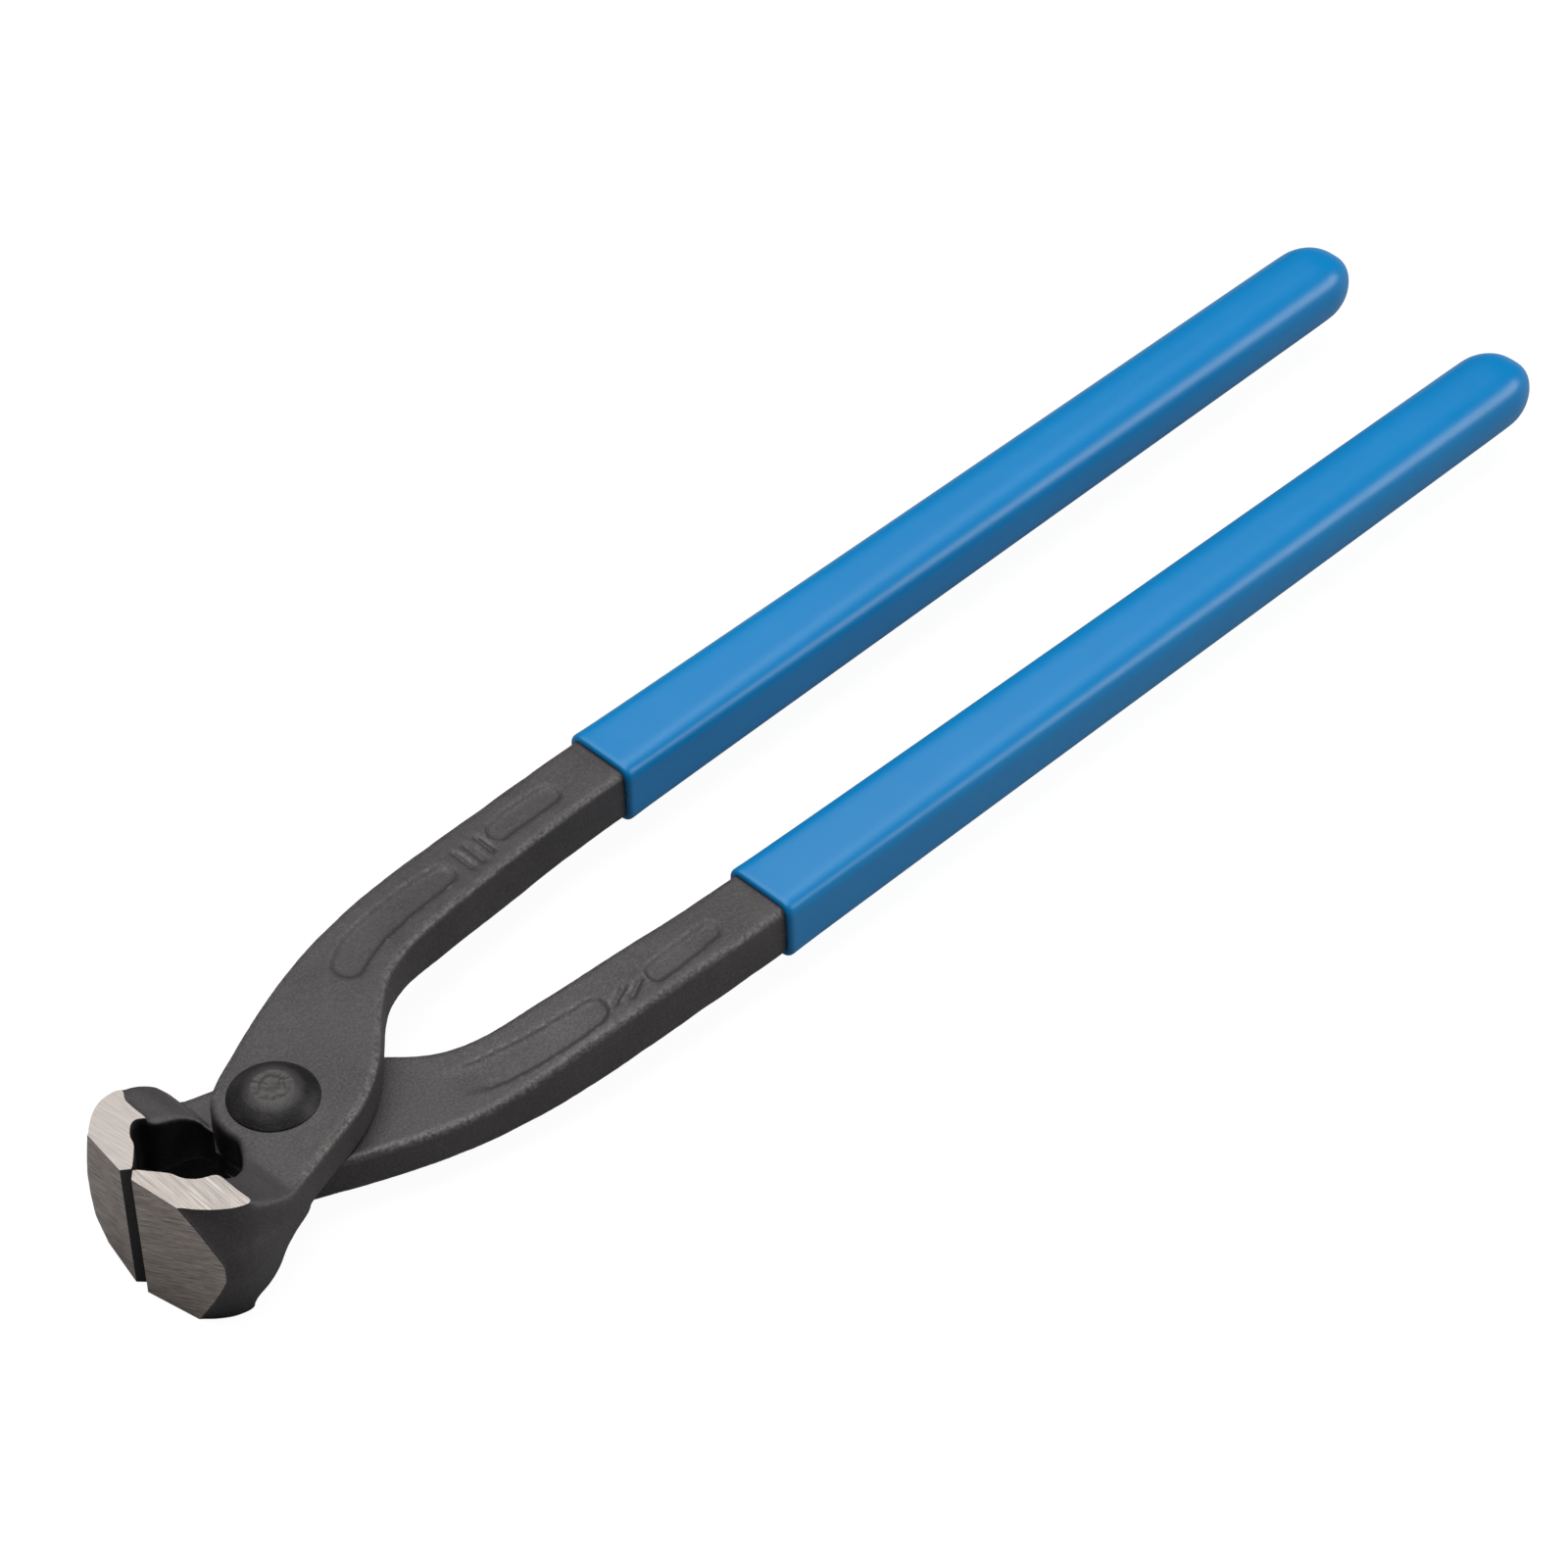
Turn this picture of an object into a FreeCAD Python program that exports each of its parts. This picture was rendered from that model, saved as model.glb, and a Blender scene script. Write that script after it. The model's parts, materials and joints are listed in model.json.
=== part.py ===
"""End cutting nippers: two forged levers lapped on one rivet, with dipped plastic grips.

Design frame, in millimetres: the pivot axis is Z through the origin and the two plates meet
on the plane z = 0. +X runs from the jaws to the handles. The upper lever has its plate above the
lap plane, its handle on the +Y side and its jaw on the -Y side. The lower lever is the same
forging turned over about X. Every sub-part is placed from that frame into the part's own frame,
which stands on the jaws' ground bottom with its origin under the middle of the whole tool.
"""
import FreeCAD, Part
import math
import os

from FreeCAD import Placement, Rotation, Vector

doc = FreeCAD.newDocument("EndCuttingNippers")

# ---------------------------------------------------------------- driving dimensions
DIMENSIONS = (
    ("overall_length", 280.0, "front of the jaws to the ends of the grips"),
    ("jaw_front", 27.3, "pivot axis to the front of the jaws"),
    ("edge_setback", 1.35, "cutting edges behind the front of the jaws"),
    ("edge_gap", 0.05, "half of the light gap between the closed cutting edges"),
    ("front_sweep", 11.0, "angle that each ground front face leans back"),
    ("top_slope", 8.0, "angle that each ground top face falls away from the cutting edge"),
    ("jaw_half_height", 12.2, "half of the height of the jaws"),
    ("plate_thick", 7.0, "pivot plate, from the lap plane to its outer face"),
    ("plate_radius", 9.3, "round front of the pivot plate"),
    ("lap_gap", 0.05, "running gap on each side of the lap plane"),
    ("swing_radius", 10.5, "relief in each jaw for the other lever's plate"),
    ("arm_thick", 9.4, "thickness of the handles"),
    ("tail_thick", 7.8, "thickness of the handles at their ends"),
    ("arm_edge", 1.1, "rounding along the handles' edges"),
    ("arm_outer", 24.8, "outer side of a handle where its grip begins"),
    ("arm_inner", 13.6, "inner side of a handle where its grip begins"),
    ("tail_outer", 24.2, "outer side of a handle near its end"),
    ("tail_inner", 15.2, "inner side of a handle near its end"),
    ("shank_radius", 4.5, "rivet shank"),
    ("pivot_clearance", 0.05, "radial running clearance of the upper lever on the rivet"),
    ("head_radius", 7.0, "rivet heads, at their base"),
    ("head_rise", 2.5, "height of the rivet heads"),
    ("head_flat", 3.3, "radius of the flat on top of the rivet heads"),
    ("grip_wall", 1.0, "plastic over the steel at the mouth of a grip"),
    ("grip_start_upper", 82.6, "mouth of the upper grip, from the pivot axis"),
    ("grip_start_lower", 79.3, "mouth of the lower grip, from the pivot axis"),
    ("panel_depth", 0.5, "depth of the forged panels in the levers"),
    ("bar_width", 1.0, "width of the short grooves between the panels"),
    ("cheek_upper", 17.0, "reach of the upper lever's front face from the middle plane"),
    ("cheek_lower", 14.0, "reach of the lower lever's front face from the middle plane"),
)

sheet = doc.addObject("Spreadsheet::Sheet", "Dimensions")
for row, (alias, value, meaning) in enumerate(DIMENSIONS, start=1):
    sheet.set("A%d" % row, alias)
    sheet.set("B%d" % row, str(value))
    sheet.set("C%d" % row, meaning)
    sheet.setAlias("B%d" % row, alias)
doc.recompute()


def size(alias):
    """The value of one cell of the sheet."""
    return float(sheet.get(alias))


def xy(x, y):
    return Vector(x, y, 0)


def xz(x, z):
    return Vector(x, 0, z)


# ---------------------------------------------------------------- small drawing helpers
def spline(points, closed=False):
    """A smooth edge through the points."""
    curve = Part.BSplineCurve()
    curve.interpolate(Points=points, PeriodicFlag=closed)
    return curve.toShape()


def blend(points, start_along, end_along):
    """A smooth edge through the points that runs along a given direction at each end."""
    curve = Part.BSplineCurve()
    curve.interpolate(Points=points, InitialTangent=start_along, FinalTangent=end_along)
    return curve.toShape()


def line(start, end):
    return Part.makeLine(start, end)


def arc(start, middle, end):
    return Part.Arc(start, middle, end).toShape()


def polygon(points):
    """The straight edges of a closed outline."""
    return [line(points[i], points[(i + 1) % len(points)]) for i in range(len(points))]


def outline(name, edges):
    """A flat face in the document, bounded by the edges, for a feature to extrude."""
    feature = doc.addObject("Part::Feature", name)
    feature.Shape = Part.Face(Part.Wire(Part.__sortEdges__(edges)))
    return feature


def extrude(name, profile, direction, forward, backward="0"):
    """An extrusion whose two lengths are expressions on the sheet."""
    feature = doc.addObject("Part::Extrusion", name)
    feature.Base = profile
    feature.DirMode = "Custom"
    feature.Dir = direction
    feature.Solid = True
    feature.setExpression("LengthFwd", forward)
    feature.setExpression("LengthRev", backward)
    return feature


def cut(name, base, tool):
    feature = doc.addObject("Part::Cut", name)
    feature.Base = base
    feature.Tool = tool
    return feature


def common(name, shapes):
    feature = doc.addObject("Part::MultiCommon", name)
    feature.Shapes = shapes
    return feature


def fuse(name, shapes):
    feature = doc.addObject("Part::MultiFuse", name)
    feature.Shapes = shapes
    return feature


def cylinder(name, radius, height, base_z="0"):
    """A cylinder on the pivot axis, all of whose sizes are expressions."""
    feature = doc.addObject("Part::Cylinder", name)
    feature.setExpression("Radius", radius)
    feature.setExpression("Height", height)
    feature.setExpression("Placement.Base.z", base_z)
    return feature


# ---------------------------------------------------------------- the lever and its plate
ARM_END = size("overall_length") - size("jaw_front") - 4.5
TAIL_START = 90.0
LAP_END = 21.5      # the plates lie flat on each other up to here
BLEND_END = 66.0    # the handle has its own thickness from here on


def arm_plan():
    """Plan of a lever from the neck behind its jaw, round the plate, to the handle's end."""
    radius = size("plate_radius")
    front = [Vector(radius * math.cos(a), radius * math.sin(a), 0)
             for a in (math.radians(degrees) for degrees in (195, 175, 155, 135, 118))]
    outer = [xy(1, 10.9), xy(11.8, 15.7), xy(24.9, 19.8), xy(45.4, 23.2), xy(64, 24.5),
             xy(TAIL_START, size("arm_outer")), xy(150, 24.75), xy(205, 24.5),
             xy(ARM_END - 9, size("tail_outer")), xy(ARM_END - 2.6, size("tail_outer") - 1.4)]
    tip = xy(ARM_END, (size("tail_outer") + size("tail_inner")) / 2)
    throat = [xy(ARM_END - 2.6, size("tail_inner") + 1.4), xy(ARM_END - 9, size("tail_inner")),
              xy(205, 14.7), xy(150, 14.2), xy(TAIL_START, size("arm_inner")), xy(64.1, 13.0),
              xy(50, 11.6), xy(38, 9.6), xy(29.5, 6.9), xy(23, 2.0), xy(17, -4.2), xy(9.5, -9.6),
              xy(-2.8, -13.7), xy(-10.2, -16.2)]
    neck = [xy(-17, -16.6), xy(-20, -12.5), xy(-17, -8.9), xy(-14.2, -8.5), xy(-11.9, -6.8),
            xy(-10.4, -4.7)]
    return [spline(front + outer + [tip] + throat + neck, closed=True)]


def arm_side():
    """Side view: the plate lies above the lap plane, the handle is centred on it."""
    half = size("arm_thick") / 2
    tail_half = size("tail_thick") / 2
    plate = size("plate_thick")
    gap = size("lap_gap")
    step = (BLEND_END - LAP_END) / 3
    level = xz(20, 0)
    taper = xz(20, -20 * (half - tail_half) / (size("overall_length") - BLEND_END))
    rise = xz(20, -taper.z)
    top = [xz(LAP_END, plate), xz(LAP_END + step, plate - 0.55), xz(BLEND_END - step, half + 0.6),
           xz(BLEND_END, half)]
    under = [xz(LAP_END, gap), xz(LAP_END + step * 0.7, -1.3), xz(BLEND_END - step, -half + 0.5),
             xz(BLEND_END, -half)]
    far = size("overall_length")
    near = -size("jaw_front")
    return [line(xz(near, plate), top[0]), blend(top, level, taper),
            line(top[-1], xz(far, tail_half)), line(xz(far, tail_half), xz(far, -tail_half)),
            line(xz(far, -tail_half), under[-1]), blend(under, level, rise),
            line(under[0], xz(near, gap)), line(xz(near, gap), xz(near, plate))]


def slanted_bar(x, y, length, lean):
    """Outline of one short slanted groove between the panels."""
    width = size("bar_width")
    along = Vector(math.cos(math.radians(lean)), -math.sin(math.radians(lean)), 0)
    across = Vector(-along.y, along.x, 0)
    middle = Vector(x, y, 0)
    a = middle - along * length / 2 - across * width / 2
    b = middle + along * length / 2 - across * width / 2
    c = middle + along * length / 2 + across * width / 2
    d = middle - along * length / 2 + across * width / 2
    return [line(a, b), arc(b, middle + along * (length + width) / 2, c), line(c, d),
            arc(d, middle - along * (length + width) / 2, a)]


def panel(upper_points, lower_points):
    """Outline of a long forged panel: two smooth long sides and two rounded ends."""
    def end(start, finish):
        across = finish - start
        bulge = Vector(-across.y, across.x, 0) * 0.35
        return arc(start, (start + finish) / 2 + bulge, finish)
    return [spline(upper_points), end(upper_points[-1], lower_points[-1]),
            spline(lower_points), end(lower_points[0], upper_points[0])]


FRONT_MARKS = {
    "long_panel": lambda: panel([xy(23.8, 14.4), xy(29, 17), xy(36, 18.4), xy(43, 19.2), xy(49, 19.2)],
                                [xy(25.4, 9.2), xy(29, 10.9), xy(34, 12.5), xy(41, 13.7),
                                 xy(49, 14.8)]),
    "first_bar": lambda: slanted_bar(52.8, 17.3, 4.6, 90),
    "second_bar": lambda: slanted_bar(55.2, 17.4, 4.6, 92),
    "third_bar": lambda: slanted_bar(57.6, 17.8, 3.8, 90),
    "short_panel": lambda: panel([xy(60.6, 20.6), xy(66, 21.2), xy(72, 21.0)],
                                 [xy(60.6, 16.4), xy(66, 16.5), xy(72, 16.7)]),
}
BACK_MARKS = {
    "long_panel": lambda: panel([xy(22.6, 13.4), xy(29, 17.6), xy(36, 19.7), xy(43, 20.9), xy(45.8, 21)],
                                [xy(25, 9.6), xy(31, 11.8), xy(37, 13.9), xy(43, 15.3),
                                 xy(47.2, 16.1)]),
    "first_bar": lambda: slanted_bar(50.6, 19.1, 3.8, 24),
    "second_bar": lambda: slanted_bar(53.2, 20.0, 3.8, 24),
    "short_panel": lambda: panel([xy(56.6, 21.9), xy(62, 22.0), xy(68.8, 21.4)],
                                 [xy(57.6, 17.9), xy(63.5, 17.8), xy(69, 17.6)]),
}


def marks_tool(name, marks, side, side_view):
    """The shallow layer that the marks remove from one face; side is +1 above and -1 below."""
    prisms = [extrude("%s_%s" % (name, key), outline("%s_%s_outline" % (name, key), draw()),
                      Vector(0, 0, side), "Dimensions.jaw_half_height")
              for key, draw in marks.items()]
    sunk = doc.addObject("Part::Feature", name + "_floor_view")
    sunk.Shape = side_view.Shape.copy()
    sunk.Placement = Placement(Vector(0, 0, -side * size("panel_depth")), Rotation())
    floor = extrude(name + "_floor", sunk, Vector(0, 1, 0), "Dimensions.overall_length",
                    "Dimensions.overall_length")
    return cut(name + "_marks", fuse(name + "_prisms", prisms), floor)


# ---------------------------------------------------------------- the jaw
def jaw_level(name, z, reaches):
    """Outline of the jaw blank at one height; reaches are (x, distance from the middle plane)."""
    points = [xy(x, -reach) for x, reach in reaches]
    start = xy(points[0].x, 1.0)
    end = xy(points[-1].x, 1.0)
    feature = doc.addObject("Part::Feature", name)
    feature.Shape = Part.Wire([line(start, points[0]), spline(points), line(points[-1], end),
                               line(end, start)])
    feature.Placement = Placement(Vector(0, 0, z), Rotation())
    return feature


JAW_STATIONS = (-30, -26, -23, -18.5, -16.5, -13, -9, -5)


def jaw_blank(name, cheek):
    """The barrel-shaped block that the jaw is ground from, from its levels: each is a height and
    the distances of its side from the middle plane at the stations along X."""
    high = size("jaw_half_height")
    belly = (cheek - 5, cheek - 1.7, cheek + 0.4, 18.2, 18.0, 17.0, 15.8, 14.0)
    level_sizes = {
        "low": (-high, (5.0, 9.8, 12.8, 14.5, 14.2, 13.0, 9.4, 7.0)),
        "belly_low": (-0.3, belly),
        "belly_high": (3.1, belly),
        "brow": (8.0, (7.6, 11.6, 13.6, 16.0, 16.4, 16.4, 15.4, 13.9)),
        "high": (high, (3.6, 7.2, 10.7, 13.7, 14.4, 15.0, 14.8, 14.0)),
    }
    levels = [jaw_level("%s_%s" % (name, key), z, list(zip(JAW_STATIONS, across)))
              for key, (z, across) in level_sizes.items()]
    loft = doc.addObject("Part::Loft", name + "_loft")
    loft.Sections = levels
    loft.Solid = True
    loft.Ruled = True
    return loft


def jaw_side():
    """Side view of the jaw: shoulders down to the plate above, and behind the far side below."""
    high = size("jaw_half_height") + 1
    plate = size("plate_thick")
    gap = size("lap_gap")
    return polygon([xz(-31, high), xz(-17.9, high), xz(-17.5, 10.3), xz(-15, 8.9), xz(-10.2, plate),
                    xz(-6, plate), xz(-6, gap), xz(-6.6, gap), xz(-9.4, -5.8), xz(-11.2, -8.4),
                    xz(-13.6, -9.6), xz(-17.6, -10.4), xz(-18, -high), xz(-31, -high)])


def hollow_plan(rear_wall):
    """What is open between the jaws, from the cutting edge back to the pivot."""
    gap = size("edge_gap")
    edge = size("edge_setback") - size("jaw_front")
    wall = [xy(edge + 3.7, -4.1), xy(edge + 5.2, -6.9)] + rear_wall
    last = wall[-1]
    return [line(xy(edge, -gap), wall[0]), spline(wall), line(last, xy(-4.0, last.y)),
            line(xy(-4.0, last.y), xy(-4.0, 3.0)), line(xy(-4.0, 3.0), xy(edge, 3.0)),
            line(xy(edge, 3.0), xy(edge, -gap))]


HOLLOW_ABOVE = [xy(-18.3, -8.2), xy(-14.2, -8.5), xy(-11.9, -6.8), xy(-10.4, -4.7), xy(-9.0, -2.4)]
HOLLOW_BELOW = [xy(-18.9, -7.9), xy(-17.6, -6.4), xy(-15.2, -5.2), xy(-13, -4.6), xy(-11.7, -3.7),
                xy(-11, -2.2), xy(-10.8, -0.6)]


def front_plan():
    """What is ground off in front: the swept face and the land up to the cutting edge."""
    gap = size("edge_gap")
    front = -size("jaw_front")
    edge = front + size("edge_setback")
    reach = 25.0
    swept = front + reach * math.tan(math.radians(size("front_sweep")))
    land_end = -gap - size("edge_setback") + 0.1
    return polygon([xy(edge, -gap), xy(front, land_end), xy(swept, land_end - reach),
                    xy(front - 8, land_end - reach), xy(front - 8, 3), xy(edge, 3)])


def sloping_face(side):
    """What is ground off beyond the sloping end face of the jaw, seen along X; side is +1 or -1."""
    high = size("jaw_half_height")
    fall = math.tan(math.radians(size("top_slope"))) * 25
    points = [(3, high), (0, high), (-25, high - fall), (-25, high + 4), (3, high + 4)]
    return polygon([Vector(0, y, side * z) for y, z in points])


# ---------------------------------------------------------------- one forging
def forging(name, cheek, hole_radius, sloping_ends):
    """One lever, in the upper lever's place; hole_radius is an expression, and sloping_ends are
    the ends of the jaw, +1 above and -1 below, that are ground at a slope."""
    side_view = outline(name + "_arm_side", arm_side())
    arm_above = extrude(name + "_arm_plan_solid", outline(name + "_arm_plan", arm_plan()),
                        Vector(0, 0, 1), "Dimensions.jaw_half_height", "Dimensions.jaw_half_height")
    arm_across = extrude(name + "_arm_side_solid", side_view, Vector(0, 1, 0),
                         "Dimensions.overall_length", "Dimensions.overall_length")
    arm_sharp = common(name + "_arm_sharp", [arm_above, arm_across])
    doc.recompute()
    arm = round_long_edges(name + "_arm", arm_sharp)
    front_marks = marks_tool(name + "_front", FRONT_MARKS, 1, side_view)
    back_marks = marks_tool(name + "_back", BACK_MARKS, -1, side_view)
    marked = cut(name + "_arm_marked", cut(name + "_arm_front_marked", arm, front_marks), back_marks)

    blank = jaw_blank(name + "_jaw", cheek)
    shoulders = extrude(name + "_shoulders", outline(name + "_jaw_side", jaw_side()),
                        Vector(0, 1, 0), "Dimensions.overall_length", "Dimensions.overall_length")
    shaped = common(name + "_jaw_shaped", [blank, shoulders])
    grindings = fuse(name + "_grindings", [
        extrude(name + "_hollow_above", outline(name + "_hollow_above_plan", hollow_plan(HOLLOW_ABOVE)),
                Vector(0, 0, 1), "Dimensions.jaw_half_height * 2"),
        extrude(name + "_hollow_below", outline(name + "_hollow_below_plan", hollow_plan(HOLLOW_BELOW)),
                Vector(0, 0, -1), "Dimensions.jaw_half_height * 2"),
        extrude(name + "_front_face", outline(name + "_front_plan", front_plan()), Vector(0, 0, 1),
                "Dimensions.jaw_half_height * 2", "Dimensions.jaw_half_height * 2"),
        cylinder(name + "_swing_relief", "Dimensions.swing_radius",
                 "Dimensions.jaw_half_height + Dimensions.lap_gap", "-Dimensions.jaw_half_height"),
    ] + [
        extrude("%s_end_face_%d" % (name, i), outline("%s_end_view_%d" % (name, i), sloping_face(side)),
                Vector(-1, 0, 0), "Dimensions.overall_length")
        for i, side in enumerate(sloping_ends)
    ])
    jaw = cut(name + "_jaw", shaped, grindings)
    whole = fuse(name + "_whole", [marked, jaw])
    hole = cylinder(name + "_hole", hole_radius, "Dimensions.jaw_half_height * 2",
                    "-Dimensions.jaw_half_height")
    return cut(name, whole, hole), arm


def round_long_edges(name, sharp):
    """Round the lever's edges above, and those below it except round the lap face."""
    radius = size("arm_edge")
    chosen = []
    for index, edge in enumerate(sharp.Shape.Edges, start=1):
        box = edge.BoundBox
        across = box.XLength < 0.5
        above = box.ZMin > 3.0
        below = box.ZMax < size("lap_gap") + 0.01 and box.XMax > LAP_END + 1
        if not across and (above or below):
            chosen.append((index, radius, radius))
    feature = doc.addObject("Part::Fillet", name)
    feature.Base = sharp
    feature.Edges = chosen
    return feature


# ---------------------------------------------------------------- the grips
def grip_section(name, x, middle, width, thick, radius):
    """A rounded rectangle across the handle."""
    half_w, half_t = width / 2, thick / 2
    flat_w, flat_t = half_w - radius, half_t - radius
    bend = radius * math.sqrt(0.5)
    corners = []
    for sy, sz in ((1, 1), (-1, 1), (-1, -1), (1, -1)):
        on_side = Vector(x, middle + sy * half_w, sz * flat_t)
        on_bend = Vector(x, middle + sy * (flat_w + bend), sz * (flat_t + bend))
        on_top = Vector(x, middle + sy * flat_w, sz * half_t)
        corners.append((on_side, on_bend, on_top) if sy * sz > 0 else (on_top, on_bend, on_side))
    edges = []
    for here, after in zip(corners, corners[1:] + corners[:1]):
        edges += [arc(*here), line(here[2], after[0])]
    feature = doc.addObject("Part::Feature", name)
    feature.Shape = Part.Wire(edges)
    return feature


NOSE_STEPS = 7
NOSE_LENGTH = 8.0


def grip(name, start, arm):
    """The dipped sleeve: even in width, and rounder towards its closed end."""
    wall = size("grip_wall")
    end = size("overall_length") - size("jaw_front")
    mouth_middle = (size("arm_outer") + size("arm_inner")) / 2
    tail_middle = (size("tail_outer") + size("tail_inner")) / 2
    width = size("arm_outer") - size("arm_inner") + 2 * wall
    thick = size("arm_thick") + 2 * wall
    stations = [
        ("mouth", start, mouth_middle, width, thick, 2.3),
        ("middle", 150, mouth_middle + 0.3, width + 0.2, thick + 0.2, 3.4),
        ("far", 210, tail_middle - 0.1, width, thick, 4.6),
    ]
    last_angle = math.radians(86)
    for step in range(NOSE_STEPS):
        angle = last_angle * step / (NOSE_STEPS - 1)
        x = end - NOSE_LENGTH + NOSE_LENGTH * math.sin(angle) / math.sin(last_angle)
        narrow = math.cos(angle)
        stations.append(("nose_%d" % step, x, tail_middle, (width - 0.8) * narrow,
                         (thick - 0.4) * narrow, 5.0 * narrow))
    loft = doc.addObject("Part::Loft", name + "_outside")
    loft.Sections = [grip_section(name + "_" + where, *rest) for where, *rest in stations]
    loft.Solid = True
    loft.Ruled = True
    return cut(name, loft, arm)


# ---------------------------------------------------------------- the rivet
def rivet():
    """A round bar with a domed head at each end, turned about the pivot axis."""
    body = doc.addObject("PartDesign::Body", "pivot_rivet")
    sketch = body.newObject("Sketcher::SketchObject", "rivet_half_section")
    plane = next(f for f in body.Origin.OriginFeatures if f.Role == "XZ_Plane")
    sketch.AttachmentSupport = [(plane, "")]
    sketch.MapMode = "FlatFace"
    shank, head, flat = size("shank_radius"), size("head_radius"), size("head_flat")
    under = size("plate_thick") + 2 * size("lap_gap")
    top = under + size("head_rise")
    points = [xy(0, -top), xy(flat, -top), xy(head, -under), xy(shank, -under), xy(shank, under),
              xy(head, under), xy(flat, top), xy(0, top)]
    bulges = {1: xy(0.45, -0.55), 5: xy(0.45, 0.55)}
    for i, (here, after) in enumerate(zip(points, points[1:] + points[:1])):
        if i in bulges:
            dome = Part.Arc(here, (here + after) / 2 + bulges[i], after)
            sketch.addGeometry(dome, False)
        else:
            sketch.addGeometry(Part.LineSegment(here, after), False)
    turn = body.newObject("PartDesign::Revolution", "rivet_turned")
    turn.Profile = sketch
    turn.ReferenceAxis = (sketch, ["V_Axis"])
    turn.Angle = 360
    return body


# ---------------------------------------------------------------- the five pieces
upper_lever, upper_arm = forging("upper_lever", size("cheek_upper"),
                                 "Dimensions.shank_radius + Dimensions.pivot_clearance", [1])
lower_lever, lower_arm = forging("lower_lever", size("cheek_lower"), "Dimensions.shank_radius",
                                 [1, -1])
upper_grip = grip("upper_grip", size("grip_start_upper"), upper_arm)
lower_grip = grip("lower_grip", size("grip_start_lower"), lower_arm)
pivot_rivet = rivet()
doc.recompute()

stand_x = size("jaw_front") - size("overall_length") / 2
upright = Placement(Vector(stand_x, 0, size("jaw_half_height")), Rotation())
turned_over = Placement(upright.Base, Rotation(Vector(1, 0, 0), 180))
PIECES = {
    "upper_lever": (upper_lever, upright),
    "lower_lever": (lower_lever, turned_over),
    "upper_grip": (upper_grip, upright),
    "lower_grip": (lower_grip, turned_over),
    "pivot_rivet": (pivot_rivet, upright),
}
for label, (piece, placement) in PIECES.items():
    piece.Label = label
    piece.Placement = placement
doc.recompute()

failed = [obj.Name for obj in doc.Objects if "Invalid" in obj.State or "Error" in obj.State]
if failed:
    raise RuntimeError("these features did not build: %s" % ", ".join(failed))

os.makedirs("parts", exist_ok=True)
for label, (piece, placement) in PIECES.items():
    shape = piece.Shape
    if shape.isNull() or not shape.isValid() or len(shape.Solids) != 1:
        raise RuntimeError("%s is not one valid solid" % label)
    print("%-12s %9.1f mm3  %s" % (label, shape.Volume, shape.BoundBox))
    shape.exportStep("parts/%s.step" % label)
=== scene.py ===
"""Looks of the end cutting nippers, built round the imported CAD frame.

Lengths in the mesh code are millimetres from the pivot axis, with the lap plane at z = 0;
MM and the pivot's place turn them into the row frame. A lever that is turned over about X is
worked on in its own upright frame and turned back at the end.
"""
import json
import math

import bmesh
import bpy
import numpy as np
from mathutils import Matrix, Vector, noise


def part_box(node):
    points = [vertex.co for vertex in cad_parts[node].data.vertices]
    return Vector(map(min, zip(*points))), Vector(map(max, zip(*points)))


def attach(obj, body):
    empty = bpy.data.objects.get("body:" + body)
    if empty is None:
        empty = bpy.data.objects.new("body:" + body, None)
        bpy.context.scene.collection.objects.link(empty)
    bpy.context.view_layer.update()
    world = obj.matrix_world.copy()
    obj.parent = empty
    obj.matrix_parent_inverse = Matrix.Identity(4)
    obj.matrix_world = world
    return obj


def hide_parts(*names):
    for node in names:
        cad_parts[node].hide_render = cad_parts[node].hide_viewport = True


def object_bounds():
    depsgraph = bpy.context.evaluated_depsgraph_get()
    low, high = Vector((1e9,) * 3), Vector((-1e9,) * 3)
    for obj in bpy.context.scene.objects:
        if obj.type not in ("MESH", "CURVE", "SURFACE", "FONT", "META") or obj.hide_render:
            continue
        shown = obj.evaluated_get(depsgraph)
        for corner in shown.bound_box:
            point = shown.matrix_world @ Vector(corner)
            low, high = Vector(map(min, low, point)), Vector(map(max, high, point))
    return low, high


MM = 0.001
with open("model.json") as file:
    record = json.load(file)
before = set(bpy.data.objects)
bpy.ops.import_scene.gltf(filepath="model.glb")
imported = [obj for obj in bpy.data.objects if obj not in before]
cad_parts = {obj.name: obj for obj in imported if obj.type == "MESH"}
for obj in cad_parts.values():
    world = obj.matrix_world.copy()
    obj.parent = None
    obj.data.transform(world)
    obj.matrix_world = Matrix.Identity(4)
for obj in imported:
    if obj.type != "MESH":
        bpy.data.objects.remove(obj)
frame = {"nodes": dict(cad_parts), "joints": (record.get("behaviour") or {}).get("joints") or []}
cad_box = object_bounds()
PIVOT = Vector(frame["joints"][0]["pos_m"])
ROW = Matrix.Translation(PIVOT) @ Matrix.Scale(MM, 4)
TURN = {"upper": Matrix.Identity(4), "lower": Matrix.Rotation(math.pi, 4, "X")}
FLOOR_Z = cad_box[0].z


# ---------------------------------------------------------------- shading helpers
def material(name):
    """A new material, its node tree and its main shader."""
    mat = bpy.data.materials.new(name)
    mat.use_nodes = True
    tree = mat.node_tree
    shader = tree.nodes["Principled BSDF"]
    return mat, tree, shader


def node(tree, kind, inputs=None, **settings):
    """A new node; inputs are values, or (node, output name) pairs to link from."""
    made = tree.nodes.new(kind)
    for key, value in settings.items():
        setattr(made, key, value)
    for key, value in (inputs or {}).items():
        if isinstance(value, tuple) and len(value) == 2 and isinstance(value[0], bpy.types.Node):
            tree.links.new(value[0].outputs[value[1]], made.inputs[key])
        else:
            made.inputs[key].default_value = value
    return made


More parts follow.
